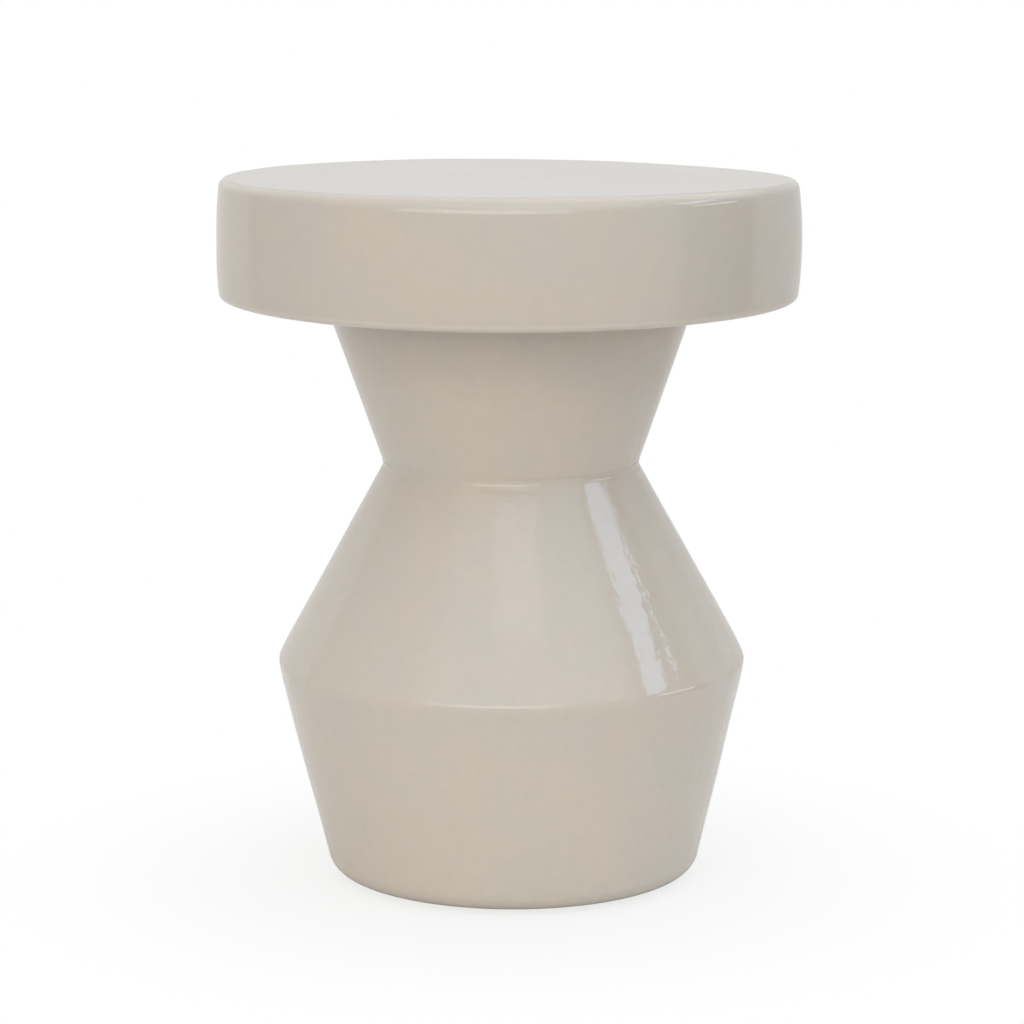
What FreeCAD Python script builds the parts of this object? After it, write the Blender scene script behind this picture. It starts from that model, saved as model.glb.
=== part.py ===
"""Glazed stoneware garden stool: a hollow drum seat on an hourglass pedestal.

Three hollow castings stand on each other: the drum seat, the upper pedestal that tapers down to the waist,
and the lower pedestal that swells to the belly and draws in to the foot. A layer of slip joins each pair
of castings before the firing. It is sponged to a cove outside and squeezes out in a bead inside. Four felt
pads lift the foot off the floor. Nothing on the stool moves.

Millimetres, +Z up, the origin on the floor at the middle of the foot.
"""

import FreeCAD, Part
import Sketcher

import os

# Driving dimensions: alias, value in millimetres, what it measures.
SIZES = [
    ("belly_height", 143.0, "floor to the belly"),
    ("waist_above_belly", 126.5, "belly to the waist"),
    ("seat_above_waist", 104.0, "waist to the underside of the seat"),
    ("seat_thickness", 79.0, "underside to top of the seat"),
    ("seat_dia", 374.0, "seat across the middle of its bowed rim"),
    ("rim_bow", 2.5, "how far the middle of the rim stands out past its edges"),
    ("seat_wall", 9.0, "wall of the seat casting"),
    ("seat_top_round", 9.0, "round on the seat's upper edge"),
    ("seat_under_round", 10.0, "round on the seat's lower edge"),
    ("neck_dia", 236.0, "upper pedestal where it meets the seat"),
    ("landing_width", 26.0, "flat landing that carries the seat, from the neck's edge in to the mouth"),
    ("landing_thickness", 10.0, "wall of the landing"),
    ("waist_dia", 164.0, "pedestal at its narrowest"),
    ("belly_dia", 304.0, "pedestal at its widest, before the edge is rounded"),
    ("belly_round", 15.0, "round on the belly's edge"),
    ("foot_dia", 236.0, "pedestal at the foot, before the edge is rounded"),
    ("foot_round", 15.0, "round on the foot's outer edge"),
    ("foot_land", 40.0, "foot ring, from the foot's edge in to the recess"),
    ("foot_recess", 3.0, "depth of the recess inside the foot ring"),
    ("base_lip", 23.0, "recessed base, from the foot ring in to the pouring mouth"),
    ("base_thickness", 10.0, "wall of the recessed base"),
    ("wall", 8.0, "wall of both pedestal castings, square to their slope"),
    ("inner_round", 7.0, "round in the hollow side of each bend"),
    ("slip_thickness", 1.0, "fired slip between two castings"),
    ("slip_cove", 3.0, "height of the slip sponged into a corner outside"),
    ("bead_height", 8.0, "bead of slip inside a joint"),
    ("bead_stand", 3.0, "how far that bead stands in from the walls beside it"),
    ("pad_dia", 22.0, "felt pad"),
    ("pad_thickness", 2.5, "felt pad"),
]
PAD_COUNT = 4
FIRST_PAD_ANGLE = 45.0

# Heights and radii that several pieces share, as expressions on the sheet.
FOOT_Z = "Sizes.pad_thickness"
BELLY_Z = "Sizes.belly_height"
WAIST_Z = f"{BELLY_Z} + Sizes.waist_above_belly"
SEAT_Z = f"{WAIST_Z} + Sizes.seat_above_waist"
TOP_Z = f"{SEAT_Z} + Sizes.seat_thickness"
BELOW_WAIST_Z = f"{WAIST_Z} - Sizes.slip_thickness / 2"
ABOVE_WAIST_Z = f"{WAIST_Z} + Sizes.slip_thickness / 2"
LANDING_Z = f"{SEAT_Z} - Sizes.slip_thickness"
FOOT_R = "Sizes.foot_dia / 2"
BELLY_R = "Sizes.belly_dia / 2"
WAIST_R = "Sizes.waist_dia / 2"
NECK_R = "Sizes.neck_dia / 2"
MOUTH_R = f"{NECK_R} - Sizes.landing_width"

# Outward run per rise of the faces that meet at the waist, and their walls measured level.
SHOULDER_SLOPE = f"({BELLY_R} - {WAIST_R}) / ({BELOW_WAIST_Z} - {BELLY_Z})"
NECK_SLOPE = f"({NECK_R} - {WAIST_R}) / ({LANDING_Z} - ({ABOVE_WAIST_Z}))"
SHOULDER_WALL = f"Sizes.wall * sqrt(1 + ({SHOULDER_SLOPE}) ^ 2)"
NECK_WALL = f"Sizes.wall * sqrt(1 + ({NECK_SLOPE}) ^ 2)"

NEAR = "near "  # marks a place where a corner starts and a wall or an arc then holds it
FULL_TURN = 360.0
EDGE_MATCH = 0.05  # how near an edge lies to the corner that it is looked up by
LIP_SHARE = 0.45  # the part of a wall that the round on each of its lips takes up


class Outline:
    """A closed outline on a body's own XZ plane, to be turned about Z: x is a radius, y a height.

    corners lists (name, radius, height) as expressions on the sheet. bows lists the sides that are arcs
    and not straight, each by its first corner: (radius, height) that the arc starts near, and its curve.
    """

    def __init__(self, body, name, corners, bows=None):
        self.body = body
        self.sketch = body.newObject("Sketcher::SketchObject", name)
        plane = next(f for f in body.Origin.OriginFeatures if f.Role == "XZ_Plane")
        self.sketch.AttachmentSupport = [(plane, "")]
        self.sketch.MapMode = "FlatFace"
        self.sides, self.starts, self.ends = {}, {}, {}
        self.draw(corners, bows or {})
        for corner, radius, height in corners:
            self.hold(corner, radius, height)

    def value(self, expression):
        return float(self.sketch.evalExpression(expression.removeprefix(NEAR)))

    def point(self, radius, height):
        return FreeCAD.Vector(self.value(radius), self.value(height), 0)

    def draw(self, corners, bows):
        """Draws each side from its corner to the next one, and joins them up."""
        names = [name for name, _, _ in corners]
        points = [self.point(radius, height) for _, radius, height in corners]
        for name, start, end in zip(names, points, points[1:] + points[:1]):
            curve = Part.LineSegment(start, end)
            if name in bows:
                radius, height, _ = bows[name]
                curve = Part.Arc(start, self.point(radius, height), end)
            side = self.sketch.addGeometry(curve, False)
            far = (self.sketch.getPoint(side, 1) - start).Length > (self.sketch.getPoint(side, 2) - start).Length
            self.sides[name] = side
            self.starts[name], self.ends[name] = ((side, 2), (side, 1)) if far else ((side, 1), (side, 2))
        for before, name in zip(names[-1:] + names[:-1], names):
            self.add("Coincident", *self.ends[before], *self.starts[name])
        for name, (_, _, curve) in bows.items():
            self.dimension(f"{name}_curve", curve, "Radius", self.sides[name])

    def add(self, *constraint):
        return self.sketch.addConstraint(Sketcher.Constraint(*constraint))

    def dimension(self, name, expression, *geometry):
        """Adds a named dimension that the sheet drives."""
        index = self.add(*geometry, self.value(expression))
        self.sketch.renameConstraint(index, name)
        self.sketch.setExpression(f"Constraints.{name}", expression)

    def hold(self, corner, radius, height):
        """Places a corner from the origin, except where it is only near its place."""
        start = self.starts[corner]
        if radius == "0":
            self.add("PointOnObject", *start, -2)
        elif not radius.startswith(NEAR):
            self.dimension(f"{corner}_radius", radius, "DistanceX", -1, 1, *start)
        if not height.startswith(NEAR):
            self.dimension(f"{corner}_height", height, "DistanceY", -1, 1, *start)

    def keep_wall(self, inner, outer):
        """Keeps an inner side parallel to an outer one, a pedestal wall away."""
        self.add("Parallel", self.sides[inner], self.sides[outer])
        self.dimension(f"{inner}_wall", "Sizes.wall", "Distance", *self.starts[inner], self.sides[outer])

    def turn(self, name):
        """Revolves the outline a full turn about the stool's axis."""
        turned = self.body.newObject("PartDesign::Revolution", name)
        turned.Profile = self.sketch
        turned.ReferenceAxis = (self.sketch, ["V_Axis"])
        turned.Angle = FULL_TURN
        self.body.Document.recompute()
        if not self.sketch.FullyConstrained:
            raise ValueError(f"{self.sketch.Name} isn't fully constrained")
        return turned

    def round(self, base, name, corners, radius):
        """Rounds the edges that the named corners turned into."""
        fillet = self.body.newObject("PartDesign::Fillet", name)
        spots = [self.sketch.getPoint(*self.starts[corner]) for corner in corners]
        fillet.Base = (base, [edge_round_axis(base.Shape, spot.x, spot.y) for spot in spots])
        fillet.setExpression("Radius", radius)
        self.body.Document.recompute()
        return fillet


def edge_round_axis(shape, radius, height):
    """The name of the edge that circles the axis at this radius and height."""
    for number, edge in enumerate(shape.Edges, start=1):
        if not isinstance(edge.Curve, Part.Circle):
            continue
        if abs(edge.Curve.Radius - radius) < EDGE_MATCH and abs(edge.Curve.Center.z - height) < EDGE_MATCH:
            return f"Edge{number}"
    raise ValueError(f"no edge circles the axis at radius {radius:.2f}, height {height:.2f}")


def bow_curve(chord, rise):
    """The radius of an arc that rises this far above its chord."""
    return f"(({chord}) ^ 2 / 4 + ({rise}) ^ 2) / (2 * ({rise}))"


def make_sheet(doc):
    sheet = doc.addObject("Spreadsheet::Sheet", "Sizes")
    for row, (alias, value, meaning) in enumerate(SIZES, start=1):
        sheet.set(f"A{row}", meaning)
        sheet.set(f"B{row}", str(value))
        sheet.setAlias(f"B{row}", alias)
    doc.recompute()


def new_body(doc, label):
    body = doc.addObject("PartDesign::Body", label)
    body.Label = label
    return body


def make_seat(doc):
    """The drum seat: one hollow casting, flat on top, with a bowed rim and a mouth over the pedestal."""
    body = new_body(doc, "seat_drum")
    rim = "Sizes.seat_dia / 2 - Sizes.rim_bow"
    middle = f"{SEAT_Z} + Sizes.seat_thickness / 2"
    inner_rim = "Sizes.seat_dia / 2 - Sizes.seat_wall"
    inner_floor = f"{SEAT_Z} + Sizes.seat_wall"
    ceiling = f"{TOP_Z} - Sizes.seat_wall"
    curve = bow_curve("Sizes.seat_thickness", "Sizes.rim_bow")
    corners = [
        ("mouth_under", MOUTH_R, SEAT_Z),
        ("rim_under", rim, SEAT_Z),
        ("rim_top", rim, TOP_Z),
        ("axis_top", "0", TOP_Z),
        ("axis_ceiling", "0", ceiling),
        ("ceiling_rim", NEAR + inner_rim, ceiling),
        ("floor_rim", NEAR + inner_rim, inner_floor),
        ("mouth_floor", MOUTH_R, inner_floor),
    ]
    bows = {
        "rim_under": ("Sizes.seat_dia / 2", middle, curve),
        "ceiling_rim": (f"{inner_rim} + Sizes.rim_bow", middle, f"{curve} - Sizes.seat_wall"),
    }
    outline = Outline(body, "SeatWall", corners, bows)
    outline.add("Coincident", outline.sides["ceiling_rim"], 3, outline.sides["rim_under"], 3)
    drum = outline.turn("SeatCasting")
    upper = outline.round(drum, "UpperEdge", ["rim_top"], "Sizes.seat_top_round")
    lower = outline.round(upper, "LowerEdge", ["rim_under"], "Sizes.seat_under_round")
    hollow = outline.round(lower, "HollowBends", ["ceiling_rim", "floor_rim"], "Sizes.inner_round")
    outline.round(hollow, "MouthLip", ["mouth_floor"], f"Sizes.seat_wall * {LIP_SHARE}")
    return body


def make_upper_pedestal(doc):
    """The upper pedestal: a cone that opens upward from the waist to a flat landing under the seat."""
    body = new_body(doc, "upper_pedestal")
    landing_under = f"{LANDING_Z} - Sizes.landing_thickness"
    corners = [
        ("waist_outer", WAIST_R, ABOVE_WAIST_Z),
        ("neck_outer", NECK_R, LANDING_Z),
        ("landing_inner", MOUTH_R, LANDING_Z),
        ("landing_lip", MOUTH_R, landing_under),
        ("landing_bend", f"{NEAR}{NECK_R} - Sizes.wall", landing_under),
        ("waist_inner", f"{NEAR}{WAIST_R} - Sizes.wall", ABOVE_WAIST_Z),
    ]
    outline = Outline(body, "UpperWall", corners)
    outline.keep_wall("landing_bend", "waist_outer")
    cone = outline.turn("UpperCasting")
    hollow = outline.round(cone, "HollowBend", ["landing_bend"], "Sizes.inner_round")
    outline.round(hollow, "LandingLip", ["landing_lip"], f"Sizes.landing_thickness * {LIP_SHARE}")
    return body


def make_lower_pedestal(doc):
    """The lower pedestal: swells from the waist to the belly, draws in to the foot and turns in under it.

    It stands on a flat foot ring. The base inside the ring is recessed, and the slip was poured and
    drained through the mouth in its middle.
    """
    body = new_body(doc, "lower_pedestal")
    recess_z = f"{FOOT_Z} + Sizes.foot_recess"
    floor_z = f"{recess_z} + Sizes.base_thickness"
    ring_r = f"{FOOT_R} - Sizes.foot_land"
    pour_r = f"{ring_r} - Sizes.base_lip"
    corners = [
        ("foot_outer", FOOT_R, FOOT_Z),
        ("belly_outer", BELLY_R, BELLY_Z),
        ("waist_outer", WAIST_R, BELOW_WAIST_Z),
        ("waist_inner", f"{NEAR}{WAIST_R} - Sizes.wall", BELOW_WAIST_Z),
        ("belly_inner", f"{NEAR}{BELLY_R} - Sizes.wall", NEAR + BELLY_Z),
        ("floor_bend", f"{NEAR}{FOOT_R} - Sizes.wall", floor_z),
        ("pour_top", pour_r, floor_z),
        ("pour_under", pour_r, recess_z),
        ("recess_outer", ring_r, recess_z),
        ("ring_inner", ring_r, FOOT_Z),
    ]
    outline = Outline(body, "LowerWall", corners)
    outline.keep_wall("waist_inner", "belly_outer")
    outline.keep_wall("belly_inner", "foot_outer")
    casting = outline.turn("LowerCasting")
    belly = outline.round(casting, "BellyEdge", ["belly_outer"], "Sizes.belly_round")
    foot = outline.round(belly, "FootEdge", ["foot_outer"], "Sizes.foot_round")
    hollow = outline.round(foot, "HollowBends", ["belly_inner", "floor_bend"], "Sizes.inner_round")
    lips = outline.round(hollow, "PourLips", ["pour_top", "pour_under"], f"Sizes.base_thickness * {LIP_SHARE}")
    outline.round(lips, "RingEdge", ["ring_inner"], f"Sizes.foot_recess * {LIP_SHARE}")
    return body


def make_seat_slip(doc):
    """The slip between the seat and its landing, with a cove outside and a bead at the mouth."""
    body = new_body(doc, "seat_slip_joint")
    joint_z = f"{SEAT_Z} - Sizes.slip_thickness / 2"
    corners = [
        ("bead_under", MOUTH_R, f"{joint_z} - Sizes.bead_height / 2"),
        ("landing_inner", MOUTH_R, LANDING_Z),
        ("landing_outer", NECK_R, LANDING_Z),
        ("cove_under", f"{NECK_R} - Sizes.slip_cove * {NECK_SLOPE}", f"{LANDING_Z} - Sizes.slip_cove"),
        ("cove_over", f"{NECK_R} + Sizes.slip_cove", SEAT_Z),
        ("seat_inner", MOUTH_R, SEAT_Z),
        ("bead_over", MOUTH_R, f"{joint_z} + Sizes.bead_height / 2"),
    ]
    curve = bow_curve("Sizes.bead_height", "Sizes.bead_stand")
    bows = {"bead_over": (f"{MOUTH_R} - Sizes.bead_stand", joint_z, curve)}
    Outline(body, "SeatSlip", corners, bows).turn("SlipRing")
    return body


def make_waist_slip(doc):
    """The slip between the two pedestal castings, sponged into the crease outside, with a bead inside."""
    body = new_body(doc, "waist_slip_joint")
    reach = "(Sizes.bead_height - Sizes.slip_thickness) / 2"
    under_r = f"{WAIST_R} - {SHOULDER_WALL}"
    over_r = f"{WAIST_R} - {NECK_WALL}"
    corners = [
        ("under_inner", under_r, BELOW_WAIST_Z),
        ("under_outer", WAIST_R, BELOW_WAIST_Z),
        ("cove_under", f"{WAIST_R} + Sizes.slip_cove * {SHOULDER_SLOPE}", f"{BELOW_WAIST_Z} - Sizes.slip_cove"),
        ("cove_over", f"{WAIST_R} + Sizes.slip_cove * {NECK_SLOPE}", f"{ABOVE_WAIST_Z} + Sizes.slip_cove"),
        ("over_outer", WAIST_R, ABOVE_WAIST_Z),
        ("over_inner", over_r, ABOVE_WAIST_Z),
        ("bead_over", f"{over_r} + {reach} * {NECK_SLOPE}", f"{ABOVE_WAIST_Z} + {reach}"),
        ("bead_under", f"{under_r} + {reach} * {SHOULDER_SLOPE}", f"{BELOW_WAIST_Z} - {reach}"),
    ]
    curve = bow_curve("Sizes.bead_height", "Sizes.bead_stand")
    bows = {"bead_over": (f"{under_r} - Sizes.bead_stand", WAIST_Z, curve)}
    Outline(body, "WaistSlip", corners, bows).turn("SlipRing")
    return body


def make_pads(doc):
    """The felt pads, stuck to the flat of the foot ring and spaced evenly round it."""
    centre_r = f"({FOOT_R} - (Sizes.foot_land + Sizes.foot_round) / 2)"
    pads = []
    for number in range(PAD_COUNT):
        label = f"foot_pad_{number + 1}"
        angle = FIRST_PAD_ANGLE + number * FULL_TURN / PAD_COUNT
        pad = doc.addObject("Part::Cylinder", label)
        pad.Label = label
        pad.setExpression("Radius", "Sizes.pad_dia / 2")
        pad.setExpression("Height", "Sizes.pad_thickness")
        pad.setExpression("Placement.Base.x", f"{centre_r} * cos({angle} deg)")
        pad.setExpression("Placement.Base.y", f"{centre_r} * sin({angle} deg)")
        pads.append(pad)
    return pads


def check(doc, pieces):
    """Stops if a feature failed, or if a piece isn't one sound solid."""
    for item in doc.Objects:
        if "Invalid" in item.State or "Error" in item.State:
            raise ValueError(f"{item.Name} failed: {item.State}")
    for piece in pieces:
        shape = piece.Shape
        if shape.isNull() or not shape.isValid() or len(shape.Solids) != 1:
            raise ValueError(f"{piece.Label} isn't one valid solid")


doc = FreeCAD.newDocument("garden_stool")
make_sheet(doc)
makers = [make_seat, make_seat_slip, make_upper_pedestal, make_waist_slip, make_lower_pedestal]
pieces = [make(doc) for make in makers] + make_pads(doc)
doc.recompute()
check(doc, pieces)

os.makedirs("parts", exist_ok=True)
for piece in pieces:
    piece.Shape.exportStep(f"parts/{piece.Label}.step")
    print(f"{piece.Label}: {piece.Shape.Volume / 1000:.1f} cm3")
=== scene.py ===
"""Glazed stoneware garden stool: its visible pieces, their finishes, and the studio round it.

Three slip-cast pieces stand on each other, a ring of slip joins each pair, and four felt pads lift the
foot. Sections and pattern sizes are in millimetres, and everything handed to Blender is in metres.
Azimuth 0 points from the stool to the camera, and azimuths grow towards the camera's right.
"""

import math

import bpy
import numpy as np
from mathutils import Matrix, Vector, noise


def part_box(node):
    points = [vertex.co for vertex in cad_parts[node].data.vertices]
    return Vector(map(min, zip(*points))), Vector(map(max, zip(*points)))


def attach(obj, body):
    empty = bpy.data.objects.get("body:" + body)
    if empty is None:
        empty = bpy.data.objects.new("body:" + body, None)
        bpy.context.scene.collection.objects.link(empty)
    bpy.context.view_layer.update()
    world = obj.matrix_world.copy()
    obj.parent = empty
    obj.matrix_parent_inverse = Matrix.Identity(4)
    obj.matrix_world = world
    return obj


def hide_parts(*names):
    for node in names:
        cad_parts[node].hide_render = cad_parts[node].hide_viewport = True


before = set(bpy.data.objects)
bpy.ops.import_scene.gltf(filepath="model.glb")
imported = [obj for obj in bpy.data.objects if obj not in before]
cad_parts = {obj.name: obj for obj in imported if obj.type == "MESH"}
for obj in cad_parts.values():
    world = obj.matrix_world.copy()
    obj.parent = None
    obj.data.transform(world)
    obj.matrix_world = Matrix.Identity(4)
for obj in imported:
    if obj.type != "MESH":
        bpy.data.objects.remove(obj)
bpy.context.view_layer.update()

MM = 0.001

# The castings' sizes: radii from the axis and heights above the floor, before the edges are rounded.
FOOT_R = 118.0
FOOT_Z = 2.5
BELLY = (151.7, 143.0)
WAIST_R = 82.0
WAIST_Z = 269.5
NECK_R = 118.0
SEAT_Z = 373.5
TOP_Z = 452.5
RIM_R = 183.5
RIM_BOW = 2.5

# Walls, and what is inside and under them.
WALL = 8.0
SEAT_WALL = 9.0
MOUTH_R = 92.0
LANDING = 10.0
BASE = 10.0
POUR_R = 55.0
RING_R = 78.0
RECESS = 3.0

# Rounded edges and bends.
FOOT_ROUND = 15.0
BELLY_ROUND = 8.0
SEAT_UNDER_ROUND = 4.0
SEAT_TOP_ROUND = 9.0
INNER_ROUND = 7.0
LIP_ROUND = 4.0
RING_ROUND = 1.2

# The slip: its thickness, the bead left inside with the degrees that its bulge turns each way, the round of
# each sponged cove with the length of wall that it covers as a share of that round, and how far the slip keys
# into the walls behind a cove.
SLIP = 1.0
BEAD_HEIGHT = 8.0
BEAD_STAND = 3.0
BEAD_TURN = 75.0
BEAD_ROWS = 11
WAIST_COVE = 6.0
WAIST_COVE_REACH = 0.46
SEAT_COVE = 3.0
SEAT_COVE_REACH = 1.6
KEYED = 1.5

# The line where the glaze was wiped off the foot. It wanders in and out, with its bays this far apart on a
# circle of the radius given, and what lies no higher than UNDERFOOT goes with it. A roll of glaze runs along
# it: steps outward from the line, each with its share of the roll's depth.
GLAZE_LINE_R = 104.6
GLAZE_LINE_WIDTH = 1.2
WANDER = 0.8
WANDER_SPACING = 9.0
WANDER_CIRCLE = 60.0
UNDERFOOT = 0.5
GLAZE_ROLL = 0.25
ROLL_STEPS = ((0.0, 0.0), (0.12, 0.62), (0.4, 1.0), (0.9, 0.62), (1.5, 0.0))

# The kiln's waves over a glazed wall, as depth and spacing, how far the wall shrank, and the heights above
# the foot between which the waves fade in.
LONG_SAG = (0.26, 75.0)
SPONGE_DENT = (0.08, 26.0)
SHRUNK = 0.20
WAVES_START = 1.0
WAVES_FULL = 14.0

# How far this stool is out of true. The pair after an amount gives the height where it is full, and how far
# it spreads up and down.
LEAN = 0.0064
WAIST_DIP = 1.8
WAIST_DIP_AT = (WAIST_Z, 30.0)
BELLY_DIP = 2.8
BELLY_DIP_AT = (BELLY[1], 30.0)
BELLY_WORN = 0.7
BELLY_WORN_AT = (BELLY[1], 7.0)
SKIRT_LEFT = 0.7
SKIRT_LEFT_AT = (110.0, 50.0)
SKIRT_SWELL = 0.35
SKIRT_SWELL_AT = (80.0, 34.0)

# The seat's own faults: a slump behind on the right, a top edge that is tighter at the sides, a rim that
# stands out low on the left, and an under-edge that lies low in front and high at the sides, most on the
# left. Heights are above the seat's underside. The bow starts and is full at distances in from the rim, and
# the under-edge starts to lift a little outside the neck.
SLUMP = 2.3
SLUMP_AZIMUTH = 128.0
SLUMP_SPREAD = 48.0
SLUMP_START = 20.0
SIDE_TIGHTER = 0.40
LOW_LEFT = 1.3
LOW_LEFT_FADES = (2.0, 44.0)
UNDER_LOW_FRONT = 0.6
UNDER_HIGH_SIDES = 2.1
UNDER_HIGH_LEFT = 0.7
UNDER_FADES = 30.0
BOW_STARTS = 40.0
BOW_FULL = 12.0
PAST_NECK = 8.0

# The felt: how far in its sole and its top end, the rounds of its punched edge from the sole up, how far in
# the fray begins and is full, the fray's tufts and single fibres as depth and spacing, and how much of the
# tufts is worn off.
SOLE_INSET = 0.5
TOP_INSET = 0.4
SOLE_ROUND = 0.9
SIDE_ROUND = 1.0
TOP_ROUND = 0.5
FRAY_STARTS = 2.0
FRAY_FULL = 0.6
FELT_TUFT = (0.16, 1.4)
FELT_FIBRE = (0.10, 0.6)
TUFT_WORN = 0.7

# How finely a section is turned into a mesh, where its shading breaks, and what counts as on the axis, as no
# length and as the same place.
SIDES = 256
OUTER_SPACING = 4.0
ARC_STEP = math.radians(5.0)
SUPPORT = 0.8
CREASE = math.radians(32.0)
ON_AXIS = 1e-6
NO_LENGTH = 1e-9
TOUCH = 0.01
FELT_SIDES = 96
FELT_SPACING = 1.2

GLAZED = 0
BARE = 1


# Sections

def along(start, end, distance):
    """The point this far from start on the line to end."""
    line = Vector(end) - Vector(start)
    return tuple(Vector(start) + line.normalized() * distance)


def wall_inside(start, end, wall):
    """A straight side moved inward, to the left of its direction, by the wall's thickness."""
    line = (Vector(end) - Vector(start)).normalized()
    shift = Vector((-line.y, line.x)) * wall
    return Vector(start) + shift, Vector(end) + shift


def crossing(start, end, other_start, other_end):
    """Where the line through the first two points meets the line through the other two."""
    line = Vector(end) - Vector(start)
    other = Vector(other_end) - Vector(other_start)
    apart = Vector(other_start) - Vector(start)
    share = (apart.x * other.y - apart.y * other.x) / (line.x * other.y - line.y * other.x)
    return tuple(Vector(start) + line * share)


def arc_points(start, corner, end, rounding):
    """The arc that rounds a corner, with its first and last points on the sides."""
    here = Vector(corner)
    back = (Vector(start) - here).normalized()
    ahead = (Vector(end) - here).normalized()
    half = back.angle(ahead) / 2
    centre = here + (back + ahead).normalized() * rounding / math.sin(half)
    first = here + back * rounding / math.tan(half) - centre
    sweep = math.pi - 2 * half
    if back.x * ahead.y - back.y * ahead.x > 0:
        sweep = -sweep
    steps = max(2, math.ceil(abs(sweep) / ARC_STEP))
    turns = [sweep * step / steps for step in range(steps + 1)]
    return [tuple(centre + Matrix.Rotation(turn, 2) @ first) for turn in turns]


def section(corners, closed=True, spacing=OUTER_SPACING):
    """The rows of a section, from corners of (radius, height, rounding, finish of the side that follows).

    Returns each row's radius, height and finish. Sides are split evenly, with a row close to each end, so
    that the shading of a round stays on the round.
    """
    rows = []
    count = len(corners)
    for number, (radius, height, rounding, finish) in enumerate(corners):
        if rounding:
            before, after = corners[number - 1], corners[(number + 1) % count]
            arc = arc_points(before[:2], (radius, height), after[:2], rounding)
        else:
            arc = [(radius, height)]
        entering = corners[number - 1][3] if number or closed else finish
        turn_finish = max(entering, finish) if rounding else finish
        rows.append([(*point, turn_finish) for point in arc[:-1]] + [(*arc[-1], finish)])
    made = []
    for number, arc in enumerate(rows):
        made.extend(arc)
        if number == count - 1 and not closed:
            break
        start, end = Vector(arc[-1][:2]), Vector(rows[(number + 1) % count][0][:2])
        finish = arc[-1][2]
        length = (end - start).length
        if length < 4 * SUPPORT:
            continue
        apart = spacing if finish == GLAZED else 2 * spacing
        steps = max(1, round((length - 2 * SUPPORT) / apart))
        stops = [SUPPORT + (length - 2 * SUPPORT) * step / steps for step in range(steps + 1)]
        made.extend((*start.lerp(end, stop / length), finish) for stop in stops)
    return made


def bead_rows(top, bottom, stand):
    """The rows of a bead of slip that bulges towards the axis between two points."""
    top, bottom = Vector(top), Vector(bottom)
    middle = (top + bottom) / 2
    half = (top - bottom).length / 2
    return [(middle.x - stand * math.cos(turn), middle.y + half * math.sin(turn), BARE)
            for turn in np.radians(np.linspace(BEAD_TURN, -BEAD_TURN, BEAD_ROWS))]


# Surfaces

def wave(points, spacing, seed):
    """Smooth noise between -1 and 1 whose hills are about this many millimetres apart."""
    shift = Vector((seed, 2 * seed, 3 * seed))
    return np.array([noise.noise(Vector(point) / spacing + shift) for point in points])


def kiln_waves(points):
    """How far a fired wall stands off its true form: long sags, and shorter dents from the sponge."""
    sag_depth, sag_spacing = LONG_SAG
    dent_depth, dent_spacing = SPONGE_DENT
    return sag_depth * wave(points, sag_spacing, 3.1) + dent_depth * wave(points, dent_spacing, 7.7) - SHRUNK


def unit_rows(lines):
    """Each row as a direction of length 1."""
    return lines / np.maximum(np.linalg.norm(lines, axis=1, keepdims=True), NO_LENGTH)


def row_normals(rows, closed):
    """The outward direction of each row in the section's plane."""
    line = np.array([row[:2] for row in rows])
    if closed:
        ahead, back = np.roll(line, -1, axis=0), np.roll(line, 1, axis=0)
    else:
        ahead = np.vstack([line[1:], line[-1:] + (line[-1:] - line[-2:-1])])
        back = np.vstack([line[:1] - (line[1:2] - line[:1]), line[:-1]])
    run = unit_rows(unit_rows(line - back) + unit_rows(ahead - line))
    return np.column_stack([run[:, 1], -run[:, 0]])


def edge_bend(rows, closed):
    """How sharply each row bends, evened out: towards 1 over a convex edge, towards -1 in a crease. The glaze
    paints a paler highlight where it is high.

    The bend is evened out along 2.5 mm of wall, and a bend of a sixth of a radian per millimetre counts
    as 1. A bend beside a bare face takes no part.
    """
    even_length = 2.5
    gain = 6.0
    line = np.array([row[:2] for row in rows])
    ahead, back = np.roll(line, -1, axis=0), np.roll(line, 1, axis=0)
    first, second = line - back, ahead - line
    length = (np.linalg.norm(first, axis=1) + np.linalg.norm(second, axis=1)) / 2
    turn = np.arctan2(first[:, 0] * second[:, 1] - first[:, 1] * second[:, 0], (first * second).sum(axis=1))
    bare = np.array([row[2] for row in rows]) == BARE
    turn[bare | np.roll(bare, 1)] = 0.0
    if not closed:
        turn[[0, -1]] = 0.0
        length[[0, -1]] = 1.0
    place = np.cumsum(length)
    near = np.exp(-((place[:, None] - place[None, :]) ** 2) / (2 * even_length ** 2))
    bend = (near * turn).sum(axis=1) / (near * length).sum(axis=1)
    return np.clip(bend * gain, -1.0, 1.0)


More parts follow.
